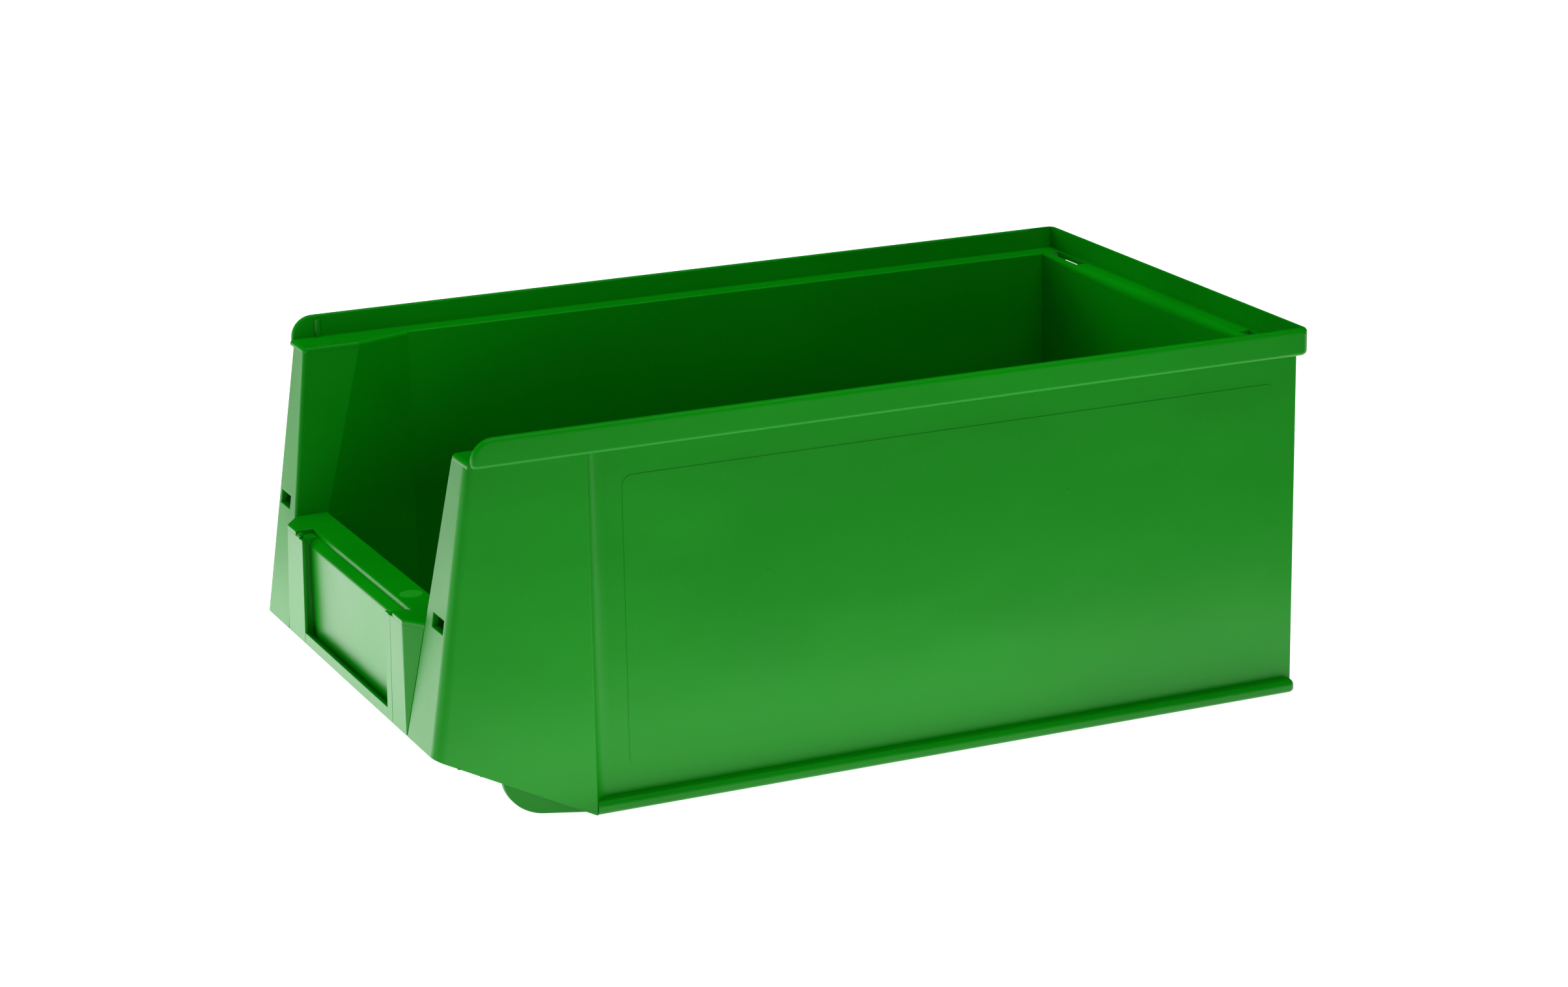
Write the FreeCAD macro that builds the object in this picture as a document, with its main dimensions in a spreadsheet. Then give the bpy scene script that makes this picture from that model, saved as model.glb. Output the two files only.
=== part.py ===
"""Stackable open-fronted storage bin, one polypropylene moulding, built region by region.

Frame: +Z up, -Y is the open front, +X is the right-hand side seen from the front.
The origin is on the surface that the bin stands on, at the middle of its outline.
Lengths are in millimetres.  Every region of the moulding is a closed solid of its own, and
neighbouring regions meet face to face.
"""
import FreeCAD, Part
import math
import os
import Sketcher

SIZES = {
    # outside of the whole bin
    "overall_length": 350.0,
    "overall_width": 202.0,
    "overall_height": 145.0,
    # rim that stands up round the stacking ledge
    "rim_wall": 3.0,
    "rim_front_end": 158.4,
    "rim_tab_radius": 8.5,
    "rim_top_round": 1.8,
    "rim_low_round": 1.7,
    "rim_corner": 4.0,
    "rim_split": 162.0,
    "stop_pin_radius": 1.4,
    "stop_pin_back": 148.0,
    "stop_pin_height": 6.8,
    # stacking ledge
    "ledge_top": 136.5,
    "ledge_thickness": 2.0,
    "ledge_round": 0.7,
    "hook_slot_inner": 64.0,
    "hook_slot_outer": 88.0,
    "hook_slot_front": 166.0,
    "hook_slot_rear": 170.6,
    # side walls, floor and rear wall
    "side_inside": 89.2,
    "side_outside": 91.5,
    "floor_thickness": 3.0,
    "rear_inside": 163.5,
    "rear_outside": 166.0,
    "fin_end": 174.6,
    "grip_low": 130.0,
    "grip_back": 167.8,
    "grip_round_middle": 3.4,
    "grip_round_end": 0.8,
    "pad_raise": 0.15,
    "pad_front": 100.0,
    "pad_rear": 165.0,
    "pad_low": 14.0,
    "pad_high": 122.6,
    "pad_corner": 4.0,
    # flange round the foot of the bin
    "flange_outside": 96.5,
    "flange_height": 5.0,
    "flange_crown": 2.4,
    "flange_round": 1.5,
    "flange_corner": 3.0,
    # front corners: outer wings, leaning posts and their inner plates
    "skin": 2.3,
    "step_back": 114.5,
    "step_blend": 8.5,
    "step_round": 0.8,
    "post_edge_low": 92.3,
    "post_edge_high": 93.3,
    "front_low": 31.0,
    "post_setback": 15.7,
    "post_inner_low": 67.2,
    "post_inner_high": 81.8,
    "kink_back_low": 155.3,
    "kink_back_high": 136.9,
    "slot_inner": 80.6,
    "slot_outer": 91.4,
    "slot_low": 74.6,
    "slot_high": 79.4,
    "post_round": 1.2,
    "cap_corner": 2.0,
    "cap_round": 1.5,
    "slot_round": 0.4,
    # front block with the label pocket
    "lip_top": 73.5,
    "lip_thickness": 2.0,
    "lip_front": 167.3,
    "lip_round": 0.8,
    "block_half_high": 65.5,
    "block_setback": 0.8,
    "pocket_half": 49.5,
    "window_half": 47.3,
    "notch_half": 55.5,
    "window_low": 35.2,
    "channel_low": 33.2,
    "retainer": 1.0,
    "panel_face": 171.0,
    "panel_thickness": 2.2,
    "panel_top": 69.3,
    "panel_round": 1.6,
    "cheek_round_share": 0.24,
    "cheek_sliver": 0.1,
    "shoulder_inset": 0.7,
    # stiffening ribs in the hollow front block
    "rib_thickness": 1.6,
    "rib_half_pitch": 24.0,
    # feet that stand on the ledge of the bin below
    "foot_front": 144.0,
    "foot_round": 13.0,
}

doc = FreeCAD.newDocument("storage_bin")
sheet = doc.addObject("Spreadsheet::Sheet", "sizes")
for row, (alias, number) in enumerate(SIZES.items(), start=1):
    sheet.set(f"A{row}", alias)
    sheet.set(f"B{row}", str(number))
    sheet.setAlias(f"B{row}", alias)
doc.recompute()


class Size:
    """A number together with the spreadsheet expression that gives it."""

    def __init__(self, value, text):
        self.value = value
        self.text = text

    def __add__(self, other):
        other = as_size(other)
        return Size(self.value + other.value, f"({self.text} + {other.text})")

    def __sub__(self, other):
        other = as_size(other)
        return Size(self.value - other.value, f"({self.text} - {other.text})")

    def __mul__(self, other):
        other = as_size(other)
        return Size(self.value * other.value, f"({self.text} * {other.text})")

    def __truediv__(self, other):
        other = as_size(other)
        return Size(self.value / other.value, f"({self.text} / {other.text})")

    def __radd__(self, other):
        return as_size(other) + self

    def __rsub__(self, other):
        return as_size(other) - self

    def __rmul__(self, other):
        return as_size(other) * self

    def root(self):
        return Size(math.sqrt(self.value), f"sqrt({self.text})")

    def __neg__(self):
        return as_size(0) - self


def as_size(number):
    """Plain numbers join in the arithmetic of Sizes."""
    return number if isinstance(number, Size) else Size(float(number), f"{float(number):.6g}")


def cell(alias):
    """One driving dimension from the sheet."""
    return Size(float(sheet.get(alias)), f"sizes.{alias}")


# Lengths that several regions share.
half_length = cell("overall_length") / 2
half_width = cell("overall_width") / 2
top = cell("overall_height")
rim_inside = half_width - cell("rim_wall")
rim_rear_inside = half_length - cell("rim_wall")
ledge_top = cell("ledge_top")
ledge_low = ledge_top - cell("ledge_thickness")
side_inside = cell("side_inside")
side_outside = cell("side_outside")
step = -cell("step_back")
skin = cell("skin")
wing_outside = cell("flange_outside")
front_low = cell("front_low")
lip_top = cell("lip_top")
lip_low = lip_top - cell("lip_thickness")
floor_top = cell("floor_thickness")
kink_low = -cell("kink_back_low")
panel_face = -cell("panel_face")
panel_back = panel_face + cell("panel_thickness")
ramp_slope = front_low / (half_length + step)

# Cutting outlines run this far past what they cut.
MARGIN = as_size(1.0)
# An edge's middle counts as beyond a plane when it is this far clear of it.
CLEAR = 0.5
# Tolerance for the middles of edges that lean.
LOOSE = 0.1


def along(low_value, high_value, low_height, high_height, height):
    """The value at a height on the straight line between two heights."""
    share = (height - low_height) / (high_height - low_height)
    return low_value + (high_value - low_value) * share


def post_front(height):
    """Y of the leaning front plane of both posts."""
    return along(-half_length, cell("post_setback") - half_length, front_low, ledge_low, height)


def post_inner(height):
    """X of the plane that bounds the front opening."""
    return along(cell("post_inner_low"), cell("post_inner_high"), front_low, ledge_low, height)


def post_edge(height):
    """X where the flat front of a post turns into the rounded corner of the wing."""
    return along(cell("post_edge_low"), cell("post_edge_high"), front_low, ledge_low, height)


def block_front(height):
    """Y of the front face of the label block."""
    return along(-half_length, cell("block_setback") - half_length, front_low, lip_top, height)


def block_half(height):
    """Half-width of the front face of the label block."""
    return along(cell("post_inner_low"), cell("block_half_high"), front_low, lip_top, height)


def ramp_height(y_place):
    """Z of the underside of the sloping front floor."""
    return (step - y_place) * ramp_slope


def mirrored(points, side):
    """The same outline on the right (side 1) or on the left (side -1)."""
    return [(side * across, up) for across, up in points]


# Tools for making bodies.
def new_body(label):
    body = doc.addObject("PartDesign::Body", label)
    body.Label = label
    return body


def origin_plane(body, role):
    return next(item for item in body.Origin.OriginFeatures if item.Role == role)


def place_sketch(body, role, offset):
    """An empty sketch on an origin plane of the body, moved along that plane's normal."""
    sketch = body.newObject("Sketcher::SketchObject", f"{body.Name}_outline")
    sketch.AttachmentSupport = (origin_plane(body, role), [""])
    sketch.MapMode = "FlatFace"
    offset = as_size(offset)
    sketch.AttachmentOffset = FreeCAD.Placement(
        FreeCAD.Vector(0, 0, offset.value), FreeCAD.Rotation())
    sketch.setExpression("AttachmentOffset.Base.z", offset.text)
    return sketch


def pin_point(sketch, line, which, across, up):
    """Fix one end of a line at two bound coordinates."""
    for kind, size in (("DistanceX", across), ("DistanceY", up)):
        index = sketch.addConstraint(Sketcher.Constraint(kind, line, which, size.value))
        sketch.setExpression(f"Constraints[{index}]", size.text)


def turns_clockwise(points):
    """Outlines of a loft all have to run the same way round."""
    area = 0.0
    for number, (across, up) in enumerate(points):
        before = points[number - 1]
        area += before[0].value * up.value - across.value * before[1].value
    return area < 0


def outline(body, role, offset, points, arcs=None):
    """A closed outline through bound points.

    arcs gives, for the side that starts at a point's number, the centre of an arc and its
    radius; every other side is straight.
    """
    arcs = arcs or {}
    sketch = place_sketch(body, role, offset)
    points = [(as_size(across), as_size(up)) for across, up in points]
    count = len(points)
    if turns_clockwise(points):
        points.reverse()
        arcs = {(count - 2 - number) % count: arc for number, arc in arcs.items()}
    places = [FreeCAD.Vector(across.value, up.value, 0) for across, up in points]
    joints = []
    for start in range(count):
        first = places[start]
        last = places[(start + 1) % count]
        if start in arcs:
            centre, radius = arcs[start]
            hub = FreeCAD.Vector(as_size(centre[0]).value, as_size(centre[1]).value, 0)
            first_angle = math.atan2(first.y - hub.y, first.x - hub.x)
            last_angle = math.atan2(last.y - hub.y, last.x - hub.x)
            turn = (last_angle - first_angle) % (2 * math.pi)
            runs_forward = turn < math.pi
            if not runs_forward:
                first_angle, last_angle = last_angle, first_angle
            circle = Part.Circle(hub, FreeCAD.Vector(0, 0, 1), as_size(radius).value)
            side = sketch.addGeometry(Part.ArcOfCircle(circle, first_angle, last_angle), False)
            index = sketch.addConstraint(
                Sketcher.Constraint("Radius", side, as_size(radius).value))
            sketch.setExpression(f"Constraints[{index}]", as_size(radius).text)
            joints.append((side, 1, 2) if runs_forward else (side, 2, 1))
        else:
            side = sketch.addGeometry(Part.LineSegment(first, last), False)
            joints.append((side, 1, 2))
    for number in range(count):
        side, start_end, _ = joints[number]
        before, _, finish_end = joints[number - 1]
        sketch.addConstraint(Sketcher.Constraint("Coincident", before, finish_end, side, start_end))
        pin_point(sketch, side, start_end, *points[number])
    return sketch


def pad(body, sketch, length, reverse=False):
    feature = body.newObject("PartDesign::Pad", f"{body.Name}_pad")
    feature.Profile = sketch
    feature.Length = as_size(length).value
    feature.setExpression("Length", as_size(length).text)
    feature.Reversed = reverse
    doc.recompute()
    return feature


def loft(body, sketches, ruled=True):
    """Loft from the last outline back to the first, which makes the solid face outwards."""
    feature = body.newObject("PartDesign::AdditiveLoft", f"{body.Name}_loft")
    feature.Profile = sketches[-1]
    feature.Sections = sketches[-2::-1]
    feature.Ruled = ruled
    doc.recompute()
    return feature


def pocket(body, sketch, length, reverse=False):
    """Cut an outline out of the body, and make sure that something was cut."""
    volume_before = body.Shape.Volume
    feature = body.newObject("PartDesign::Pocket", f"{body.Name}_pocket")
    feature.Profile = sketch
    feature.Length = as_size(length).value
    feature.setExpression("Length", as_size(length).text)
    feature.Reversed = reverse
    doc.recompute()
    if not body.Shape.Volume < volume_before:
        raise RuntimeError(f"{feature.Label} cuts nothing")
    return feature


def edge_names(shape, wanted):
    """Names of the edges whose middle satisfies a test."""
    names = []
    for number, edge in enumerate(shape.Edges, start=1):
        middle = edge.valueAt((edge.FirstParameter + edge.LastParameter) / 2)
        if wanted(middle):
            names.append(f"Edge{number}")
    if not names:
        raise RuntimeError("no edge answers the description")
    return names


def round_edges(body, feature, radius, wanted):
    """Round the edges of a feature that a test picks out by their middle points."""
    fillet = body.newObject("PartDesign::Fillet", f"{body.Name}_round")
    fillet.Base = (feature, edge_names(feature.Shape, wanted))
    fillet.Radius = as_size(radius).value
    fillet.setExpression("Radius", as_size(radius).text)
    doc.recompute()
    return fillet


def near(value, size, tolerance=0.02):
    return abs(value - as_size(size).value) < tolerance


def prism(label, points, low, high):
    """A body with an upright outline, seen from above, between two heights."""
    body = new_body(label)
    feature = pad(body, outline(body, "XY_Plane", low, points), high - low)
    return body, feature


def tapered(label, section, low, high):
    """A body whose plan outline changes in straight lines between two heights."""
    body = new_body(label)
    sketches = [outline(body, "XY_Plane", height, *section(height)) for height in (low, high)]
    return body, loft(body, sketches)


# The floor.
def make_floor():
    rear = cell("rear_inside")
    points = [(-side_inside, step), (side_inside, step), (side_inside, rear), (-side_inside, rear)]
    prism("floor_panel", points, as_size(0), floor_top)


def make_ramp():
    """The sloping front floor narrows towards the front with the inner plates of the posts."""
    body = new_body("front_ramp")
    sketches = []
    for y_place, half in ((step, side_inside), (kink_low, post_inner(lip_top))):
        low = ramp_height(y_place)
        points = [(-half, low), (half, low), (half, low + floor_top), (-half, low + floor_top)]
        sketches.append(outline(body, "XZ_Plane", -y_place, points))
    loft(body, sketches)


def cut_hook_slots(body):
    """Two slots through the rear ledge take the hooks of a hanging rail."""
    inner = cell("hook_slot_inner")
    outer = cell("hook_slot_outer")
    front = cell("hook_slot_front")
    rear = cell("hook_slot_rear")
    slot = [(inner, front), (outer, front), (outer, rear), (inner, rear)]
    for side in (1, -1):
        cut = outline(body, "XY_Plane", ledge_top + MARGIN, mirrored(slot, side))
        pocket(body, cut, cell("ledge_thickness") * 2)


# Walls.
def make_side_wall(label, side):
    """Thin wall with a hollow blend behind the wing and a faintly raised field outside."""
    fin_end = cell("fin_end")
    points = [
        (side_inside, step),
        (side_outside, step),
        (side_outside, fin_end),
        (side_inside, fin_end),
    ]
    body = new_body(label)
    pad(body, outline(body, "XY_Plane", 0, mirrored(points, side)), ledge_low)
    make_step_blend(body, side)
    front = -cell("pad_front")
    rear = cell("pad_rear")
    low = cell("pad_low")
    high = cell("pad_high")
    field = outline(body, "YZ_Plane", side * side_outside,
                    [(front, low), (rear, low), (rear, high), (front, high)])
    raised = pad(body, field, cell("pad_raise"), reverse=side < 0)
    middle = side_outside + cell("pad_raise") / 2

    def is_field_corner(point):
        return near(abs(point.x), middle) and (near(point.y, front) or near(point.y, rear))

    round_edges(body, raised, cell("pad_corner"), is_field_corner)


def make_step_blend(body, side):
    """Hollow curve from the outer edge of the wing's step to the side wall."""
    radius = cell("step_blend")
    width = wing_outside - cell("step_round") - side_outside
    reach = (radius * width * 2 - width * width).root()
    points = [
        (side_outside, step),
        (side_outside + width, step),
        (side_outside, step + reach),
    ]
    hub = (side * (side_outside + radius), step + reach)
    section = outline(
        body, "XY_Plane", cell("flange_height"), mirrored(points, side), {1: (hub, radius)})
    pad(body, section, ledge_low - cell("flange_height"))


def make_rear_wall():
    points = [
        (-side_inside, cell("rear_inside")),
        (side_inside, cell("rear_inside")),
        (side_inside, cell("rear_outside")),
        (-side_inside, cell("rear_outside")),
    ]
    prism("rear_wall", points, as_size(0), cell("grip_low"))


def make_rear_grip():
    """Bead along the top of the rear wall, rounded most in the middle, where fingers lie."""
    body = new_body("rear_grip_edge")
    inside = cell("rear_inside")
    back = cell("grip_back")
    outside = cell("rear_outside")
    low = cell("grip_low")
    stations = (-1.0, -0.6, 0.0, 0.6, 1.0)
    sketches = []
    for station in stations:
        swell = 1.0 - station * station
        end_round = cell("grip_round_end")
        radius = end_round + (cell("grip_round_middle") - end_round) * swell
        points = [
            (inside, low),
            (inside, ledge_top - radius),
            (inside + radius, ledge_top),
            (back, ledge_top),
            (back, ledge_low),
            (outside, ledge_low),
            (outside, low),
        ]
        hub = (inside + radius, ledge_top - radius)
        sketches.append(
            outline(body, "YZ_Plane", station * side_inside, points, {1: (hub, radius)}))
    loft(body, sketches, ruled=False)
    cut_hook_slots(body)


# Flange round the foot.
def make_side_flange(label, side):
    """Bead along the foot of a side wall, rounded at its rear corner."""
    fin_end = cell("fin_end")
    corner = cell("flange_corner")
    points = [
        (side_outside, step),
        (wing_outside, step),
        (wing_outside, fin_end - corner),
        (wing_outside - corner, fin_end),
        (side_outside, fin_end),
    ]
    hub = (side * (wing_outside - corner), fin_end - corner)
    body = new_body(label)
    plan = outline(body, "XY_Plane", 0, mirrored(points, side), {2: (hub, corner)})
    bead = pad(body, plan, cell("flange_height"))

    def is_long_edge(point):
        return near(abs(point.x), wing_outside) and abs(point.y) < half_length.value / 2

    crowned = round_edges(body, bead, cell("flange_crown"), lambda point: (
        is_long_edge(point) and near(point.z, cell("flange_height"))))
    round_edges(body, crowned, cell("flange_round"), lambda point: (
        is_long_edge(point) and near(point.z, 0)))


def make_rear_flange():
    body = new_body("rear_base_flange")
    rear_outside = cell("rear_outside")
    fin_end = cell("fin_end")
    height = cell("flange_height")
    points = [
        (rear_outside, 0),
        (fin_end, 0),
        (fin_end, height),
        (rear_outside, height),
    ]
    bead = pad(body, outline(body, "YZ_Plane", -side_inside, points), side_inside * 2)
    crowned = round_edges(body, bead, cell("flange_crown"), lambda point: (
        near(point.y, fin_end) and near(point.z, height)))
    round_edges(body, crowned, cell("flange_round"), lambda point: (
        near(point.y, fin_end) and near(point.z, 0)))


# Stacking ledge.
def make_side_ledge(label, side):
    rear = cell("rear_inside")
    points = [(side_inside, step), (rim_inside, step), (rim_inside, rear), (side_inside, rear)]
    body, feature = prism(label, mirrored(points, side), ledge_low, ledge_top)

    def is_inner_top(point):
        return near(abs(point.x), side_inside) and near(point.z, ledge_top)

    round_edges(body, feature, cell("ledge_round"), is_inner_top)


def make_rear_ledge():
    """Ledge behind the rear wall, joined to the side ledges at both corners."""
    inside = cell("rear_inside")
    back = cell("grip_back")
    points = [
        (-rim_inside, inside),
        (-side_inside, inside),
        (-side_inside, back),
        (side_inside, back),
        (side_inside, inside),
        (rim_inside, inside),
        (rim_inside, rim_rear_inside),
        (-rim_inside, rim_rear_inside),
    ]
    body, _ = prism("rear_ledge", points, ledge_low, ledge_top)
    cut_hook_slots(body)


def make_post_cap(label, side):
    """The ledge widens over each front post, where the foot of the bin above comes to stand."""
    front = post_front(ledge_low)
    inner = post_inner(ledge_low)
    points = [
        (inner, front),
        (rim_inside, front),
        (rim_inside, step),
        (side_inside, step),
        (inner, -cell("kink_back_high")),
    ]
    body, feature = prism(label, mirrored(points, side), ledge_low, ledge_top)
    cornered = round_edges(body, feature, cell("cap_corner"), lambda point: (
        near(abs(point.x), inner) and near(point.y, front)))

    def is_front_top(point):
        free_side = abs(point.x) < rim_inside.value - CLEAR and point.y < step.value - CLEAR
        return near(point.z, ledge_top) and free_side

    round_edges(body, cornered, cell("cap_round"), is_front_top)


# Rim.
def make_side_rim(label, side):
    """Upstand with a rounded tab at its front end and a stop pin on the inside of the tab."""
    body = new_body(label)
    front = -cell("rim_front_end")
    rear = cell("rim_split")
    profile = outline(body, "YZ_Plane", side * rim_inside,
                      [(front, ledge_low), (rear, ledge_low), (rear, top), (front, top)])
    wall = pad(body, profile, cell("rim_wall"), reverse=side < 0)
    tab = round_edges(body, wall, cell("rim_tab_radius"),
                      lambda point: near(point.y, front) and near(point.z, top))

    def is_outer_low(point):
        return near(abs(point.x), half_width) and near(point.z, ledge_low)

    rounded = round_edges(body, tab, cell("rim_low_round"), is_outer_low)

    def is_upper(point):
        return point.z > ledge_top.value and point.y < rear.value - CLEAR

    crowned = round_edges(body, rounded, cell("rim_top_round"), lambda point: (
        near(abs(point.x), half_width) and is_upper(point)))
    round_edges(body, crowned, cell("ledge_round"), lambda point: (
        near(abs(point.x), rim_inside) and is_upper(point)))
    make_stop_pin(body, side)


def make_stop_pin(body, side):
    """Half-round upright rib that keeps the bin above from sliding off forwards."""
    radius = cell("stop_pin_radius")
    back = -cell("stop_pin_back")
    face = side * rim_inside
    tip = side * (rim_inside - radius)
    points = [(face, back - radius), (tip, back), (face, back + radius)]
    hub = (face, back)
    section = outline(body, "XY_Plane", ledge_top, points, {0: (hub, radius), 1: (hub, radius)})
    pad(body, section, cell("stop_pin_height"))


def make_rear_rim():
    """The rear upstand turns both rear corners in one piece."""
    body = new_body("rear_rim")
    split = cell("rim_split")
    points = [
        (half_width, split),
        (half_width, half_length),
        (-half_width, half_length),
        (-half_width, split),
        (-rim_inside, split),
        (-rim_inside, rim_rear_inside),
        (rim_inside, rim_rear_inside),
        (rim_inside, split),
    ]
    wall = pad(body, outline(body, "XY_Plane", ledge_low, points), top - ledge_low)
    cornered = round_edges(
        body, wall, cell("rim_corner"),
        lambda point: near(abs(point.x), half_width) and near(point.y, half_length))

    def is_outside(point):
        half_wall = cell("rim_wall").value / 2
        beyond_side = abs(point.x) > rim_inside.value + half_wall
        beyond_rear = point.y > rim_rear_inside.value + half_wall
        return (beyond_side or beyond_rear) and point.y > split.value + CLEAR

    crowned = round_edges(body, cornered, cell("rim_top_round"),
                          lambda point: near(point.z, top) and is_outside(point))
    round_edges(body, crowned, cell("rim_low_round"),
                lambda point: near(point.z, ledge_low) and is_outside(point))


# Front corners.
def cut_below_ramp(body, side):
    """Trim a front corner along the underside of the sloping floor.

    The leaning front reaches furthest forward at height 0, before it is trimmed.
    """
    reach = MARGIN - post_front(as_size(0))
    outside = wing_outside + MARGIN
    cut = outline(body, "YZ_Plane", side * outside, [
        (step, 0), (-reach, ramp_height(-reach)), (-reach, -MARGIN), (step, -MARGIN)])
    pocket(body, cut, outside, reverse=side < 0)


def make_wing(label, side):
    """Outer skin of a front corner, with the step that sets it proud of the side wall."""

    def section(height):
        front = post_front(height)
        edge = post_edge(height)
        radius = wing_outside - edge
        points = [
            (side_outside, step),
            (wing_outside, step),
            (wing_outside, front + radius),
            (edge, front),
            (edge, front + skin),
            (wing_outside - skin, front + radius),
            (wing_outside - skin, step - skin),
            (side_outside, step - skin),
        ]
        return mirrored(points, side), {2: ((side * edge, front + radius), radius)}

    body, feature = tapered(label, section, as_size(0), ledge_low)
    round_edges(body, feature, cell("step_round"), lambda point: (
        near(abs(point.x), wing_outside) and near(point.y, step)))
    cut_below_ramp(body, side)


def make_post_face(label, side):
    """Leaning front plate of a post, with a slot for the tongue of a front insert."""

    def section(height):
        front = post_front(height)
        points = [
            (post_inner(height), front),
            (post_edge(height), front),
            (post_edge(height), front + skin),
            (post_inner(height), front + skin),
        ]
        return [mirrored(points, side)]

    body, plate = tapered(label, section, front_low, ledge_low)
    middle = (front_low + ledge_low) / 2

    def is_inner_front(point):
        return (near(abs(point.x), post_inner(middle), LOOSE)
                and near(point.y, post_front(middle), LOOSE))

    round_edges(body, plate, cell("post_round"), is_inner_front)
    inner = cell("slot_inner")
    outer = cell("slot_outer")
    low = cell("slot_low")
    high = cell("slot_high")
    window = outline(body, "XZ_Plane", half_length, mirrored(
        [(inner, low), (outer, low), (outer, high), (inner, high)], side))
    pierced = pocket(body, window, cell("post_setback") + skin)
    round_edges(body, pierced, cell("slot_round"), lambda point: (
        near(point.y, post_front(as_size(point.z)), LOOSE)
        and inner.value - LOOSE < abs(point.x) < outer.value + LOOSE
        and low.value - LOOSE < point.z < high.value + LOOSE))


def make_post_return(label, side):
    """Plate that runs inwards from the edge of the front opening to the kink."""

    def section(height):
        kink = along(kink_low, -cell("kink_back_high"), lip_top, ledge_low, height)
        face = post_inner(height)
        front = post_front(height) + skin
        points = [(face, kink), (face + skin, kink), (face + skin, front), (face, front)]
        return [mirrored(points, side)]

    tapered(label, section, lip_low, ledge_low)


def inner_plate_section(side, kink_x, kink_y):
    """Plan outline of the oblique plate between the side wall and the kink."""
    points = [
        (side_inside, step),
        (side_outside, step),
        (kink_x + skin, kink_y),
        (kink_x, kink_y),
    ]
    return mirrored(points, side)


def make_inner_plate(label, side):
    """Oblique inner plate above the front lip."""

    def section(height):
        kink = along(kink_low, -cell("kink_back_high"), lip_top, ledge_low, height)
        return [inner_plate_section(side, post_inner(height), kink)]

    tapered(label, section, lip_low, ledge_low)


def make_inner_plate_foot(label, side):
    """Upright lower part of the oblique plate, cut off along the sloping floor."""
    points = inner_plate_section(side, post_inner(lip_low), kink_low)
    body, _ = prism(label, points, as_size(0), lip_low)
    cut_below_ramp(body, side)


def make_stacking_foot(label, side):
    """The oblique plate reaches down below the sloping floor as a foot with a rounded nose."""
    front = -cell("foot_front")
    nose_round = cell("foot_round")
    kink_x = post_inner(lip_low)
    share = (front - step) / (kink_low - step)
    nose = side_inside + (kink_x - side_inside) * share
    nose_outside = side_outside + (kink_x + skin - side_outside) * share
    height = ramp_height(front)
    body = new_body(label)
    profile = outline(body, "YZ_Plane", side * nose, [
        (step, 0),
        (front + nose_round, 0),
        (front, nose_round),
        (front, height),
    ], {1: ((front + nose_round, nose_round), nose_round)})
    pad(body, profile, side_outside - nose, reverse=side < 0)
    inner_waste = [
        (side_inside, step + MARGIN),
        (side_inside, step),
        (nose, front),
        (nose - MARGIN, front - MARGIN),
        (nose - MARGIN, step + MARGIN),
    ]
    outer_waste = [
        (side_outside + MARGIN, step),
        (side_outside, step),
        (nose_outside, front),
        (nose_outside, front - MARGIN),
        (side_outside + MARGIN, front - MARGIN),
    ]
    for waste in (inner_waste, outer_waste):
        cut = outline(body, "XY_Plane", height + MARGIN, mirrored(waste, side))
        pocket(body, cut, height + MARGIN * 2)


# Front block.
def make_front_inner_wall():
    """Upright wall from the sloping floor to the lip, between the two oblique plates."""
    body = new_body("front_inner_wall")
    half = post_inner(lip_low)
    front = kink_low - skin
    profile = outline(body, "YZ_Plane", -half, [
        (kink_low, ramp_height(kink_low)),
        (kink_low, lip_low),
        (front, lip_low),
        (front, ramp_height(front)),
    ])
    pad(body, profile, half * 2)


def make_grip_lip():
    """Flat top of the front block, notched in front where the label goes in."""
    front = block_front(lip_top)
    shoulder = block_half(lip_top)
    corner = post_inner(lip_top)
    notch = cell("notch_half")
    lip_front = -cell("lip_front")
    right = [
        (corner, kink_low),
        (corner, post_front(lip_top)),
        (shoulder, front),
        (notch, front),
        (notch, lip_front),
    ]
    left = [(-across, up) for across, up in reversed(right)]
    body, feature = prism("grip_lip", right + left, lip_low, lip_top)

    def is_upper_front(point):
        return near(point.z, lip_top) and point.y < kink_low.value + LOOSE

    round_edges(body, feature, cell("lip_round"), lambda point: (
        is_upper_front(point) and not near(abs(point.x), corner, LOOSE)))


def make_label_panel():
    """Back of the label pocket; its top slopes back to the lip so that a finger gets in."""
    body = new_body("label_panel")
    lip_front = -cell("lip_front")
    panel_top = cell("panel_top")
    points = [
        (panel_face, front_low),
        (panel_face, panel_top),
        (lip_front, lip_low),
        (lip_front + skin, lip_low),
        (panel_back, panel_top - skin / 2),
        (panel_back, front_low),
    ]
    half = cell("pocket_half")
    plate = pad(body, outline(body, "YZ_Plane", -half, points), half * 2)
    round_edges(body, plate, cell("panel_round"), lambda point: (
        near(point.y, panel_face) and near(point.z, panel_top)))


def make_label_bottom():
    """Bottom of the label pocket: a low upright retainer and the channel floor behind it."""
    body = new_body("label_frame_bottom")
    low = cell("channel_low")
    high = cell("window_low")
    retainer = cell("retainer")
    upright = [
        (-half_length, front_low),
        (block_front(high), high),
        (block_front(high) + retainer, high),
        (retainer - half_length, front_low),
    ]
    channel = [
        (retainer - half_length, front_low),
        (block_front(low) + retainer, low),
        (panel_face, low),
        (panel_face, front_low),
    ]
    for points, half in ((upright, cell("window_half")), (channel, cell("pocket_half"))):
        pad(body, outline(body, "YZ_Plane", -half, points), half * 2)


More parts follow.
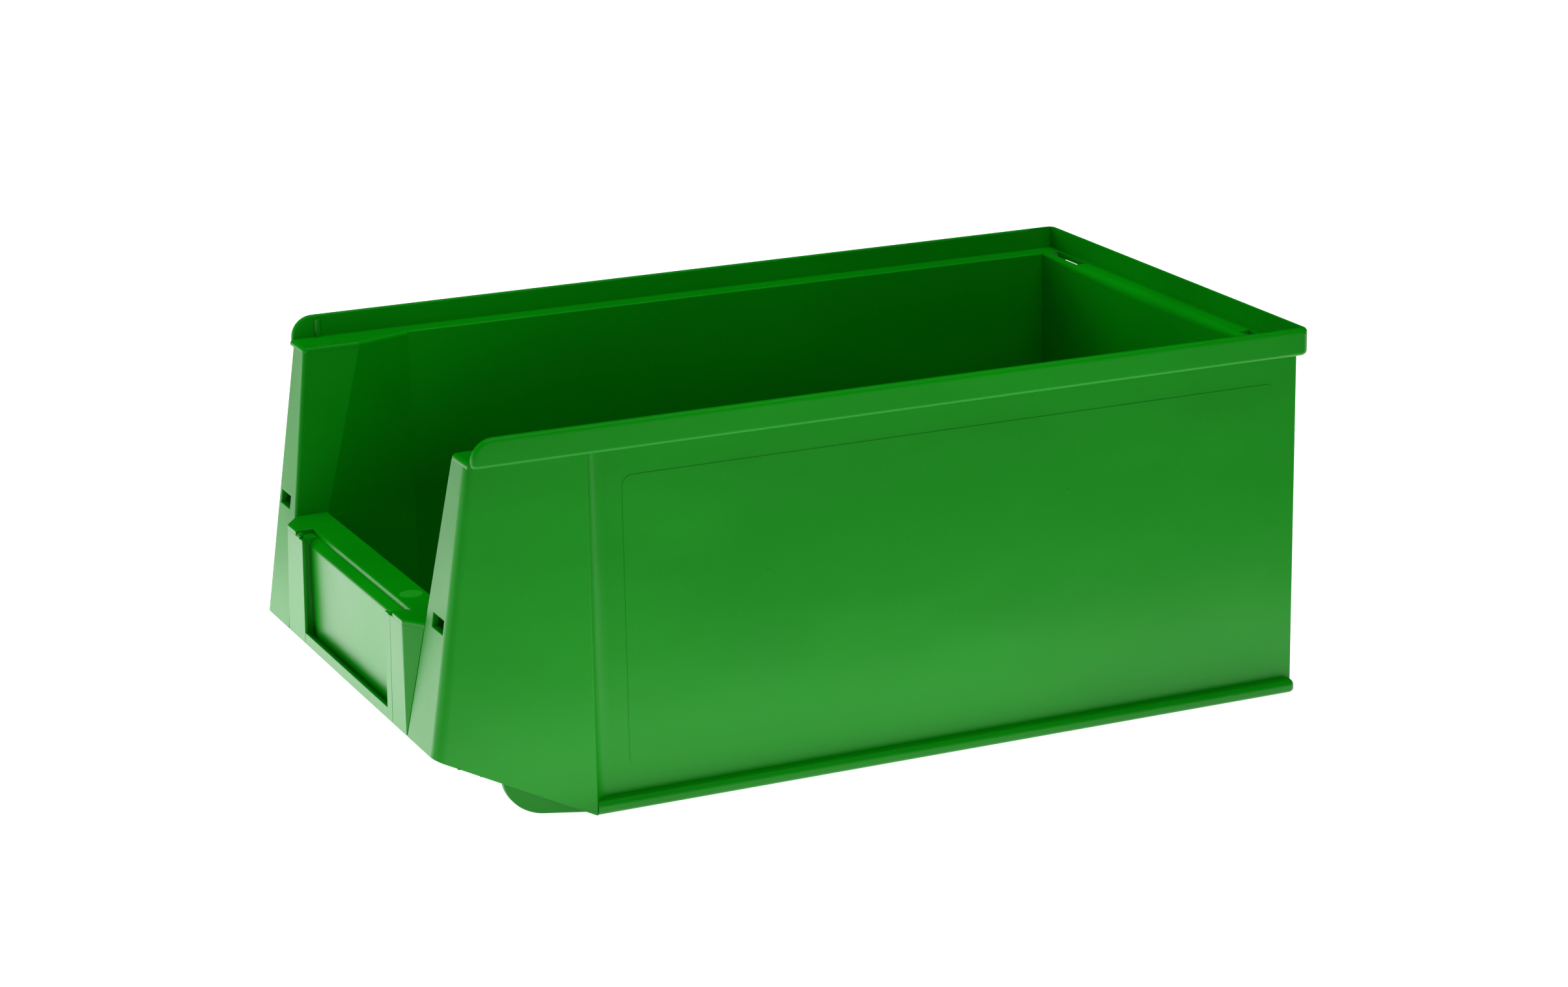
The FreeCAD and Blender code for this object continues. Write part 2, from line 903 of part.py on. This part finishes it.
def make_label_side(label, side):
    """Front column beside the label: face, slanting cheek, pocket wall and retainer."""
    wall_back = skin - cell("lip_front")

    def section(height):
        face = block_front(height)
        shoulder = block_half(height)
        # The cheek shrinks to nothing at the bottom of the block, where a sliver keeps it solid.
        cheek = post_inner(height) + cell("cheek_sliver")
        cheek_front = post_front(height) + cell("cheek_sliver")
        run = cheek - shoulder
        rise = cheek_front - face
        length = (run * run + rise * rise).root()
        radius = length * cell("cheek_round_share")
        cut_back = radius * (length - run) / rise
        points = [
            (cell("window_half"), face),
            (shoulder - cut_back, face),
            (shoulder + cut_back * run / length, face + cut_back * rise / length),
            (cheek, cheek_front),
            (cheek, cheek_front + skin),
            (shoulder - cell("shoulder_inset"), face + skin),
            (cell("notch_half"), face + skin),
            (cell("notch_half"), wall_back),
            (cell("pocket_half"), wall_back),
            (cell("pocket_half"), face + cell("retainer")),
            (cell("window_half"), face + cell("retainer")),
        ]
        hub = (side * (shoulder - cut_back), face + radius)
        return mirrored(points, side), {1: (hub, radius)}

    tapered(label, section, front_low, lip_low)


def make_front_ribs():
    """Upright ribs tie the two walls of the hollow front block together."""
    front = panel_back
    rear = kink_low - skin
    low = ramp_height(rear)
    thickness = cell("rib_thickness")
    for number, places in enumerate((-1, 0, 1), start=1):
        middle = places * cell("rib_half_pitch")
        points = [
            (middle - thickness / 2, front),
            (middle + thickness / 2, front),
            (middle + thickness / 2, rear),
            (middle - thickness / 2, rear),
        ]
        prism(f"front_rib_{number}", points, low + (rear - front) * ramp_slope,
              cell("panel_top") - skin)


def build():
    make_floor()
    make_ramp()
    make_rear_wall()
    make_rear_grip()
    make_rear_flange()
    make_rear_ledge()
    make_rear_rim()
    make_front_inner_wall()
    make_grip_lip()
    make_label_panel()
    make_label_bottom()
    make_front_ribs()
    for name, side in (("right", 1), ("left", -1)):
        make_side_wall(f"{name}_side_wall", side)
        make_side_flange(f"{name}_base_flange", side)
        make_side_ledge(f"{name}_ledge", side)
        make_side_rim(f"{name}_rim", side)
        make_post_cap(f"{name}_post_cap", side)
        make_wing(f"{name}_wing", side)
        make_post_face(f"{name}_post_face", side)
        make_post_return(f"{name}_post_return", side)
        make_inner_plate(f"{name}_inner_plate", side)
        make_inner_plate_foot(f"{name}_ramp_cheek", side)
        make_stacking_foot(f"{name}_stacking_foot", side)
        make_label_side(f"{name}_label_column", side)


def check_and_write():
    doc.recompute()
    for item in doc.Objects:
        if "Invalid" in item.State or "Error" in item.State:
            raise RuntimeError(f"{item.Label} is {item.State}")
    bodies = [item for item in doc.Objects if item.TypeId == "PartDesign::Body"]
    for body in bodies:
        if body.Shape.isNull() or not body.Shape.isValid():
            raise RuntimeError(f"{body.Label} has no valid shape")
        if len(body.Shape.Solids) != 1:
            raise RuntimeError(f"{body.Label} is in {len(body.Shape.Solids)} pieces")
    os.makedirs("parts", exist_ok=True)
    for body in bodies:
        body.Shape.exportStep(f"parts/{body.Label}.step")
        box = body.Shape.BoundBox
        print(f"{body.Label}: {body.Shape.Volume / 1000:.1f} cm3, "
              f"x {box.XMin:.1f}..{box.XMax:.1f}, y {box.YMin:.1f}..{box.YMax:.1f}, "
              f"z {box.ZMin:.1f}..{box.ZMax:.1f}")


build()
check_and_write()
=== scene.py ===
# %% [markdown]
# # A stackable storage bin
#
# The real bin is one piece of green polypropylene, shot into a steel mould in one go.
# Its CAD model comes as a set of closed regions that meet face to face, and this lesson
# gives them their looks.  Everything here is in metres, +Z is up, the open front looks
# along -Y and +X is the right-hand side seen from the front.
#
# The first cell loads the CAD regions.  They stay where they are: a finish, a light or a
# small extra piece is added around them, and nothing of theirs is moved.

# %% Load the CAD regions
import math

import bmesh
import bpy
from mathutils import Matrix, Vector


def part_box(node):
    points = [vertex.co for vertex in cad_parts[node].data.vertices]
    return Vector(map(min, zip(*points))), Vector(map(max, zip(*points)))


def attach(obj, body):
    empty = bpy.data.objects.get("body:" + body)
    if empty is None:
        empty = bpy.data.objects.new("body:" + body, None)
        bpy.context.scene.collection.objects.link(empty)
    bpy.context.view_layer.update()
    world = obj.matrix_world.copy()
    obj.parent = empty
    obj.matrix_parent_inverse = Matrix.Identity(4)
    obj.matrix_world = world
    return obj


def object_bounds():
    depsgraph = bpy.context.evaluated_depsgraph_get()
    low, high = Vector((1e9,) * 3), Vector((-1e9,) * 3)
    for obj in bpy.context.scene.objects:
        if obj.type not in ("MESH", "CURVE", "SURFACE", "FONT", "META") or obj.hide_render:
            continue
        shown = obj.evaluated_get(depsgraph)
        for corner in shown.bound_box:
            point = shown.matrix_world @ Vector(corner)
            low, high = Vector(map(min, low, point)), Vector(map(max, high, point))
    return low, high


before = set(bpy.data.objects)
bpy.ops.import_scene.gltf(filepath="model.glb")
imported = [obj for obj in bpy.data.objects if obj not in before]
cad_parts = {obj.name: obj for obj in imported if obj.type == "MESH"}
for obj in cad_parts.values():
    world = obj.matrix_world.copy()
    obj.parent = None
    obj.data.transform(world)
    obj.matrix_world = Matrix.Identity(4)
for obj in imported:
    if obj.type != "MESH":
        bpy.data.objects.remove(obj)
cad_low, cad_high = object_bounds()
cad_size = cad_high - cad_low
MM = 0.001
print("regions:", len(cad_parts), "size in mm:", [round(side / MM, 1) for side in cad_size])

# %% [markdown]
# ## The camera
#
# A long lens from well away keeps the bin's edges nearly parallel, as in a catalogue.  The
# camera stands off the front right corner and looks a little down.  Its turn is built from
# three directions at right angles, because that keeps the slight roll of a hand-levelled
# camera easy to read, where a Track To constraint would always level it.

# %% Place the camera
CAMERA_AZIMUTH = math.radians(65.62)
CAMERA_ELEVATION = math.radians(16.42)
CAMERA_ROLL = math.radians(-1.0)
CAMERA_DISTANCE = 1.5013
CAMERA_LENS = 90.0
SENSOR_WIDTH = 36.0
LOOK_AT = Vector((0.46, 3.37, 78.1)) * MM


def place_camera():
    flat = math.cos(CAMERA_ELEVATION)
    forward = Vector((
        -math.sin(CAMERA_AZIMUTH) * flat,
        math.cos(CAMERA_AZIMUTH) * flat,
        -math.sin(CAMERA_ELEVATION),
    ))
    level_right = Vector((math.cos(CAMERA_AZIMUTH), math.sin(CAMERA_AZIMUTH), 0.0))
    level_up = level_right.cross(forward)
    right = math.cos(CAMERA_ROLL) * level_right + math.sin(CAMERA_ROLL) * level_up
    up = math.cos(CAMERA_ROLL) * level_up - math.sin(CAMERA_ROLL) * level_right
    turn = Matrix((right, up, -forward)).transposed()
    data = bpy.data.cameras.new("product_camera")
    data.lens = CAMERA_LENS
    data.sensor_width = SENSOR_WIDTH
    data.clip_end = 20.0
    camera = bpy.data.objects.new("product_camera", data)
    camera.matrix_world = Matrix.Translation(LOOK_AT - forward * CAMERA_DISTANCE) @ turn.to_4x4()
    bpy.context.scene.collection.objects.link(camera)
    bpy.context.scene.camera = camera
    return camera


camera = place_camera()
print("camera stands at", [round(value, 3) for value in camera.matrix_world.translation])

# %% [markdown]
# ## Node arithmetic
#
# A procedural finish is a small graph of nodes.  Wiring it by hand takes three lines for
# each sum, so a Wire wraps an output socket and lets Python's own operators add the Math
# nodes.  Anything that isn't plain arithmetic is made by one method, Finish.node.

# %% Wires and finishes
class Wire:
    """An output socket that can be used in arithmetic."""

    def __init__(self, finish, socket):
        self.finish = finish
        self.socket = socket

    def math(self, operation, *others):
        return self.finish.node("ShaderNodeMath", {"operation": operation}, [self, *others])

    def __add__(self, other):
        return self.math("ADD", other)

    def __radd__(self, other):
        return self.math("ADD", other)

    def __mul__(self, other):
        return self.math("MULTIPLY", other)

    def __rmul__(self, other):
        return self.math("MULTIPLY", other)

    def __sub__(self, other):
        return self.math("SUBTRACT", other)

    def __rsub__(self, other):
        return self * -1.0 + other

    def step(self, low, high):
        """0 below low, 1 above high, smooth between."""
        settings = {"interpolation_type": "SMOOTHSTEP"}
        return self.finish.node(
            "ShaderNodeMapRange", settings,
            {"Value": self, "From Min": low, "From Max": high, "To Min": 0.0, "To Max": 1.0})


class Finish:
    """A material under construction."""

    def __init__(self, name):
        self.material = bpy.data.materials.new(name)
        self.material.use_nodes = True
        self.tree = self.material.node_tree
        self.tree.nodes.clear()
        self.place = self.node("ShaderNodeTexCoord", output="Object")

    def node(self, kind, settings=None, inputs=None, output=0):
        """Add a node: its settings first, then the values or wires of its sockets."""
        node = self.tree.nodes.new(kind)
        for name, value in (settings or {}).items():
            setattr(node, name, value)
        pairs = inputs.items() if isinstance(inputs, dict) else enumerate(inputs or [])
        for key, value in pairs:
            if isinstance(value, Wire):
                self.tree.links.new(value.socket, node.inputs[key])
            else:
                node.inputs[key].default_value = value
        return Wire(self, node.outputs[output]) if node.outputs else node

    def noise(self, size, detail=2.0, stretch=(1.0, 1.0, 1.0), roughness=0.5):
        """Noise whose blotches are about size metres across, longer where stretch is larger."""
        place = self.node(
            "ShaderNodeMapping", None,
            {"Vector": self.place, "Scale": [1.0 / (size * factor) for factor in stretch]})
        return self.node(
            "ShaderNodeTexNoise", {"noise_dimensions": "3D"},
            {"Vector": place, "Scale": 1.0, "Detail": detail, "Roughness": roughness}, "Fac")

    def blend(self, share, first, second):
        """Mix two colours by a wire that runs from 0 to 1."""
        settings = {"data_type": "RGBA", "blend_type": "MIX"}
        mix = self.tree.nodes.new("ShaderNodeMix")
        for name, value in settings.items():
            setattr(mix, name, value)
        self.tree.links.new(share.socket, mix.inputs["Factor"])
        for key, value in ((6, first), (7, second)):
            if isinstance(value, Wire):
                self.tree.links.new(value.socket, mix.inputs[key])
            else:
                mix.inputs[key].default_value = value
        return Wire(self, mix.outputs[2])

    def bump(self, height, depth, normal=None):
        """Turn a height wire into a normal; depth is the height of a full step in metres."""
        inputs = {"Height": height, "Strength": 1.0, "Distance": depth}
        if normal is not None:
            inputs["Normal"] = normal
        return self.node("ShaderNodeBump", None, inputs)

    def surface(self, **sockets):
        shader = self.tree.nodes.new("ShaderNodeBsdfPrincipled")
        for name, value in sockets.items():
            key = name.replace("_", " ")
            if isinstance(value, Wire):
                self.tree.links.new(value.socket, shader.inputs[key])
            else:
                shader.inputs[key].default_value = value
        output = self.tree.nodes.new("ShaderNodeOutputMaterial")
        self.tree.links.new(shader.outputs[0], output.inputs["Surface"])
        return self.material


# %% [markdown]
# ## Green polypropylene
#
# Moulded polypropylene is satin: a fine texture from the mould blurs its reflections, and
# the surface is never quite flat, because the plastic shrinks a little unevenly as it
# cools.  Three layers of bump give that: slow waves, a fine orange peel and a faint grain.
# The colour varies by a few percent where pigment has flowed, and faint scuffs from other
# bins, drawn out upright and scattered at random, are a shade paler and duller.

# %% Polypropylene finish
GREEN = (0.001, 0.245, 0.002, 1.0)
GREEN_DEEP = (0.001, 0.215, 0.002, 1.0)
GREEN_RUBBED = (0.012, 0.285, 0.012, 1.0)
FLOW_SIZE = 60 * MM
WAVE_SIZE = 38 * MM
WAVE_DEPTH = 0.5 * MM
PEEL_SIZE = 1.6 * MM
PEEL_DEPTH = 0.012 * MM
GRAIN_SIZE = 0.28 * MM
GRAIN_DEPTH = 0.004 * MM
SCRATCH_WIDTH = 0.5 * MM
SCRATCH_STRETCH = 50.0
SCRATCH_SHARE = 0.25
SATIN_ROUGHNESS = 0.28


def make_polypropylene(name, extra_roughness=0.0, deep=GREEN_DEEP, clear=GREEN):
    finish = Finish(name)
    flow = finish.noise(FLOW_SIZE, detail=3.0, stretch=(1.0, 2.5, 1.0))
    waves = finish.noise(WAVE_SIZE, detail=1.0)
    peel = finish.noise(PEEL_SIZE, detail=2.0)
    grain = finish.noise(GRAIN_SIZE, detail=1.0)
    along_z = (1.0, 1.0, SCRATCH_STRETCH)
    scratch = finish.noise(SCRATCH_WIDTH, detail=3.0, stretch=along_z).step(0.66, 0.74)
    colour = finish.blend(flow.step(0.35, 0.65), deep, clear)
    colour = finish.blend(scratch * SCRATCH_SHARE, colour, GREEN_RUBBED)
    roughness = flow * 0.10 + peel * 0.05 + scratch * 0.08 + (SATIN_ROUGHNESS + extra_roughness)
    normal = finish.bump(waves, WAVE_DEPTH)
    normal = finish.bump(peel, PEEL_DEPTH, normal)
    normal = finish.bump(grain, GRAIN_DEPTH, normal)
    return finish.surface(
        Base_Color=colour, Roughness=roughness, Normal=normal, IOR=1.49,
        Specular_IOR_Level=0.36)


polypropylene = make_polypropylene("green_polypropylene")
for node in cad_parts.values():
    for material_slot in node.material_slots:
        material_slot.material = polypropylene
print("finish:", polypropylene.name, "with", len(polypropylene.node_tree.nodes), "nodes")

# %% [markdown]
# ## What the mould leaves behind
#
# A moulding carries small signs of how it was made.  Round pins push it out of the mould
# and print discs on the flat tops; the highest is matter, and its green is a painted
# highlight, a shade paler to stand in for the lighter sheen it catches.  An insert in the
# mould leaves a fine line; a little plastic creeps into the gaps and stays as nibs.  Each
# sign is a small closed mesh that is sunk a little into the CAD surface, so no gap can show.
# A bump texture would be quicker, but it would have no edge to catch the light.

# %% Small helpers
SUNK = 0.25 * MM


def keep(shape, name, *, smooth=True, finish=polypropylene):
    """Turn a bmesh into a piece that rides with the bin and has its finish."""
    bmesh.ops.recalc_face_normals(shape, faces=shape.faces)
    mesh = bpy.data.meshes.new(name)
    shape.to_mesh(mesh)
    shape.free()
    for face in mesh.polygons:
        face.use_smooth = smooth
    mesh.materials.append(finish)
    piece = bpy.data.objects.new(name, mesh)
    bpy.context.scene.collection.objects.link(piece)
    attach(piece, "root")
    return piece


def soften(shape, edges, width, segments=2):
    bmesh.ops.bevel(
        shape, geom=edges, offset=width, offset_type="OFFSET", affect="EDGES",
        segments=segments, profile=0.5, material=-1)


def box_between(low, high):
    """A closed box from its lowest and highest corners."""
    low = Vector(low)
    high = Vector(high)
    shape = bmesh.new()
    bmesh.ops.create_cube(shape, size=1.0)
    bmesh.ops.scale(shape, vec=high - low, verts=shape.verts)
    bmesh.ops.translate(shape, vec=(low + high) / 2, verts=shape.verts)
    return shape


def on_both_sides(make, name, *details):
    """Make a right-hand piece and its mirror image."""
    for word, side in (("right", 1), ("left", -1)):
        make(f"{word}_{name}", side, *details)


# %% Pin marks
PIN_SEGMENTS = 40
# These two paler greens are a painted highlight for the highest pin disc, lighter than the bin's own
# green.
PIN_PAINTED_HIGHLIGHT_GREEN_DEEP = (0.006, 0.275, 0.008, 1.0)
PIN_PAINTED_HIGHLIGHT_GREEN = (0.010, 0.310, 0.012, 1.0)
PIN_EXTRA_ROUGHNESS = 0.2
CAP_MARK_RADIUS = 4.2 * MM
CAP_MARK_RISE = 0.16 * MM
# The highest disc's finish: rougher, with its paler green painted in as a highlight.
pin_painted_highlight_finish = make_polypropylene(
    "pin_mark_painted_highlight_polypropylene", PIN_EXTRA_ROUGHNESS, PIN_PAINTED_HIGHLIGHT_GREEN_DEEP, PIN_PAINTED_HIGHLIGHT_GREEN)
CAP_MARK_X = 88.0 * MM
CAP_MARK_Y = -148.5 * MM
cap_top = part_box("right_post_cap")[1].z
lip_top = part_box("grip_lip")[1].z


def pin_disc(name, x, y, top, radius, rise, finish=polypropylene):
    """A pin that stopped a little short leaves a low disc."""
    shape = bmesh.new()
    bmesh.ops.create_cone(
        shape, cap_ends=True, segments=PIN_SEGMENTS, radius1=radius, radius2=radius,
        depth=rise + SUNK)
    bmesh.ops.translate(shape, vec=(x, y, top + (rise - SUNK) / 2), verts=shape.verts)
    rim = [edge for edge in shape.edges if all(v.co.z > top for v in edge.verts)]
    soften(shape, rim, rise * 0.9, segments=1)
    return keep(shape, name, smooth=False, finish=finish)


def cap_mark(name, side):
    pin_disc(name, side * CAP_MARK_X, CAP_MARK_Y, cap_top, CAP_MARK_RADIUS, CAP_MARK_RISE)


on_both_sides(cap_mark, "cap_pin_mark")
# The highest disc gets the finish whose paler green is a painted highlight.
pin_disc("lip_pin_mark", 39.2 * MM, -161.4 * MM, lip_top, 4.3 * MM, 0.22 * MM, pin_painted_highlight_finish)
pin_disc("lip_middle_pin_mark", -3.5 * MM, -161.4 * MM, lip_top, 4.4 * MM, 0.05 * MM)
pin_disc("lip_right_corner_mark", 59.5 * MM, -164.5 * MM, lip_top, 3.4 * MM, 0.10 * MM)
pin_disc("lip_left_corner_mark", -63.5 * MM, -162.0 * MM, lip_top, 3.4 * MM, 0.10 * MM)
print("pin marks on", round(cap_top / MM, 1), "and", round(lip_top / MM, 1), "mm")

# %% [markdown]
# ## Label frame
#
# The label slides in from above behind two upright retainers.  On the real bin a strip
# beside each retainer stands a hair proud of the column, and the end of the left retainer
# carries a round nib.  The strips lean with the column, so they start as upright boxes and
# are sheared by moving their top corners.

# %% Retainer strips and nibs
column_low, column_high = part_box("right_label_column")
FRAME_SETBACK = 0.78 * MM
STRIP_INNER = 47.5 * MM
STRIP_OUTER = 52.6 * MM
STRIP_RISE = 0.06 * MM
HAIR = 0.01 * MM


def retainer_strip(name, side):
    low = column_low.z + 0.6 * MM
    high = column_high.z - STRIP_RISE
    across = sorted((side * STRIP_INNER, side * STRIP_OUTER))
    front = column_low.y
    shape = box_between((across[0], front - STRIP_RISE, low), (across[1], front + SUNK, high))
    upper = [v for v in shape.verts if v.co.z > (low + high) / 2]
    bmesh.ops.translate(shape, vec=(0.0, FRAME_SETBACK, 0.0), verts=upper)
    behind = front + FRAME_SETBACK - HAIR
    front_edges = [
        edge for edge in shape.edges
        if all(v.co.y < behind for v in edge.verts)
        and abs(edge.verts[0].co.z - edge.verts[1].co.z) > MM]
    soften(shape, front_edges, STRIP_RISE * 0.8)
    return keep(shape, name, smooth=False)


def nib(name, place, radius, stretch=(1.0, 1.0, 1.0)):
    """A drop of plastic, half sunk into the surface."""
    shape = bmesh.new()
    bmesh.ops.create_uvsphere(shape, u_segments=20, v_segments=12, radius=radius)
    bmesh.ops.scale(shape, vec=stretch, verts=shape.verts)
    bmesh.ops.translate(shape, vec=place, verts=shape.verts)
    return keep(shape, name)


on_both_sides(retainer_strip, "retainer_strip")
nib("left_retainer_nib", Vector((-52.0, -173.5, 72.4)) * MM, 1.25 * MM)
nib("right_retainer_nib", Vector((52.0, -174.1, 71.5)) * MM, 0.5 * MM)

# %% Upstand line and nibs
rim_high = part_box("rear_rim")[1]
UPSTAND_LINE_HEIGHT = 138.4 * MM
LINE_RISE = 0.05 * MM
LINE_WIDTH = 0.25 * MM
RIM_WALL = 3.0 * MM


def upstand_line():
    """A fine step low on the inside of the rear upstand, where a mould insert ended."""
    face = rim_high.y - RIM_WALL
    reach = rim_high.x - RIM_WALL - 1.0 * MM
    shape = box_between(
        (-reach, face - LINE_RISE * 2, UPSTAND_LINE_HEIGHT - LINE_WIDTH),
        (reach, face + SUNK, UPSTAND_LINE_HEIGHT))
    return keep(shape, "upstand_line", smooth=False)


upstand_line()
FIELD_FACE = 91.65 * MM
for number, (along, height) in enumerate(((77.5, 93.1), (-44.7, 80.0)), start=1):
    nib(f"right_wall_nib_{number}", Vector((FIELD_FACE, along * MM, height * MM)), 0.35 * MM,
        (0.5, 1.0, 1.0))
nib("rear_corner_nib", Vector((100.6, 172.4, 142.9)) * MM, 0.6 * MM)
nib("post_edge_nib", Vector((92.6, -160.4, 124.0)) * MM, 0.55 * MM, (1.0, 1.0, 2.2))
STEP_Y = -114.5
RAMP_SLOPE = 31.0 / 60.5
WING_FACE = 96.3
wing_points = ((-166.0, 1.0), (-158.0, 0.7), (-136.0, 0.9), (-133.0, 0.6), (-121.0, 0.8))
for number, (along, share) in enumerate(wing_points, start=1):
    edge_height = (STEP_Y - along) * RAMP_SLOPE
    nib(f"right_wing_nib_{number}", Vector((WING_FACE, along, edge_height + 0.1)) * MM,
        0.45 * share * MM, (1.0, 1.4, 0.8))

# %% [markdown]
# ## Table and light
#
# The bin stands on a white table that glows a little, as a light table does.  The table
# could be lit from above alone, but then the faces that turn down would go dull.  The room
# is pale to look at, yet it neither lights nor shows in the plastic, as if the bin stood
# in a dark studio: that keeps the green of the upward faces deep.

# %% Floor
FLOOR_HALF = 6.0
FLOOR_DROP = 0.02 * MM
TABLE_WHITE = (0.62, 0.62, 0.62, 1.0)
TABLE_SHADE = (0.58, 0.58, 0.58, 1.0)
TABLE_GLOW = 0.90


def make_floor():
    finish = Finish("white_table")
    colour = finish.blend(finish.noise(0.5, detail=2.0), TABLE_WHITE, TABLE_SHADE)
    material = finish.surface(
        Base_Color=colour, Roughness=0.6, Emission_Color=(1.0, 1.0, 1.0, 1.0),
        Emission_Strength=TABLE_GLOW)
    shape = bmesh.new()
    bmesh.ops.create_grid(shape, x_segments=1, y_segments=1, size=FLOOR_HALF)
    bmesh.ops.translate(shape, vec=(0.0, 0.0, cad_low.z - FLOOR_DROP), verts=shape.verts)
    mesh = bpy.data.meshes.new("table_top")
    shape.to_mesh(mesh)
    shape.free()
    mesh.materials.append(material)
    floor = bpy.data.objects.new("table_top", mesh)
    bpy.context.scene.collection.objects.link(floor)


def paint_the_room():
    world = bpy.data.worlds.new("pale_room")
    world.use_nodes = True
    background = world.node_tree.nodes["Background"]
    background.inputs["Color"].default_value = (1.0, 1.0, 1.0, 1.0)
    world.cycles_visibility.diffuse = False
    world.cycles_visibility.glossy = False
    bpy.context.scene.world = world


make_floor()
paint_the_room()
print("table is", 2 * FLOOR_HALF, "m wide")

# %% [markdown]
# ## Soft boxes and a black card
#
# Each soft box either gives light to the plastic or is a shape for it to reflect; a real
# studio separates the two with grids and polarisers, and here two switches on the lamp do
# it.  The front faces mirror the bright sheet of light that lies on the table before them.
# A black card at the right keeps the table out of the upper half of the long side, so the
# reflection fades upwards.  The camera sees neither the lamps nor the card.

# %% Soft boxes
SHEET_HEIGHT = 4 * MM


def soft_box(name, place, target, size, power, lights=True, mirrors=True):
    """A rectangular lamp that faces a target; power is in watts."""
    data = bpy.data.lights.new(name, "AREA")
    data.shape = "RECTANGLE"
    data.size, data.size_y = size
    data.energy = power
    light = bpy.data.objects.new(name, data)
    away = Vector(place) - Vector(target)
    light.matrix_world = (
        Matrix.Translation(place) @ away.to_track_quat("Z", "Y").to_matrix().to_4x4())
    light.visible_camera = False
    light.visible_diffuse = lights
    light.visible_glossy = mirrors
    bpy.context.scene.collection.objects.link(light)
    return light


def lying_sheet(name, place, size, power, **switches):
    """A sheet of light that lies on the table and shines upwards."""
    low = Vector((*place, SHEET_HEIGHT))
    return soft_box(name, low, low + Vector((0.0, 0.0, 1.0)), size, power, **switches)


def light_the_bin():
    middle = (0.0, 0.0, 0.07)
    soft_box("front_box", (-0.9, -1.6, 0.5), middle, (1.2, 0.8), 19.0, mirrors=False)
    soft_box("right_box", (1.7, -0.2, 0.45), middle, (1.2, 0.6), 8.0, mirrors=False)
    soft_box("overhead_box", (0.1, 0.1, 1.8), middle, (1.4, 1.4), 26.0, mirrors=False)
    lying_sheet("front_sheet", (-0.125, -0.275), (0.35, 0.17), 0.29, lights=False)
    lying_sheet("right_sheet", (0.17, 0.02), (0.12, 0.40), 0.16, mirrors=False)


light_the_bin()

# %% Black card
CARD_GAP = 0.10
CARD_LENGTH = 1.8
CARD_HEIGHT = 0.8


def make_black_card():
    """A matt card that stands beside the long side and shows only in reflections."""
    finish = Finish("black_card")
    material = finish.surface(Base_Color=(0.0, 0.0, 0.0, 1.0), Roughness=1.0,
                              Specular_IOR_Level=0.0)
    shape = bmesh.new()
    bmesh.ops.create_grid(shape, x_segments=1, y_segments=1, size=0.5)
    bmesh.ops.rotate(shape, matrix=Matrix.Rotation(math.radians(90), 3, "Y"), verts=shape.verts)
    bmesh.ops.scale(shape, vec=(1.0, CARD_LENGTH, CARD_HEIGHT), verts=shape.verts)
    bmesh.ops.translate(
        shape, vec=(cad_high.x + CARD_GAP, CARD_LENGTH * 0.25, CARD_HEIGHT / 2),
        verts=shape.verts)
    mesh = bpy.data.meshes.new("black_card")
    shape.to_mesh(mesh)
    shape.free()
    mesh.materials.append(material)
    card = bpy.data.objects.new("black_card", mesh)
    bpy.context.scene.collection.objects.link(card)
    for ray in ("camera", "diffuse", "shadow", "transmission", "volume_scatter"):
        setattr(card, f"visible_{ray}", False)


make_black_card()
scene = bpy.context.scene
scene.view_settings.view_transform = "Standard"
scene.view_settings.look = "None"
print("card stands", CARD_GAP, "m off the long side")

# %% [markdown]
# ## Hand over
# The last cell prints a closing line.

# %% Closing line
print("scene dressed")
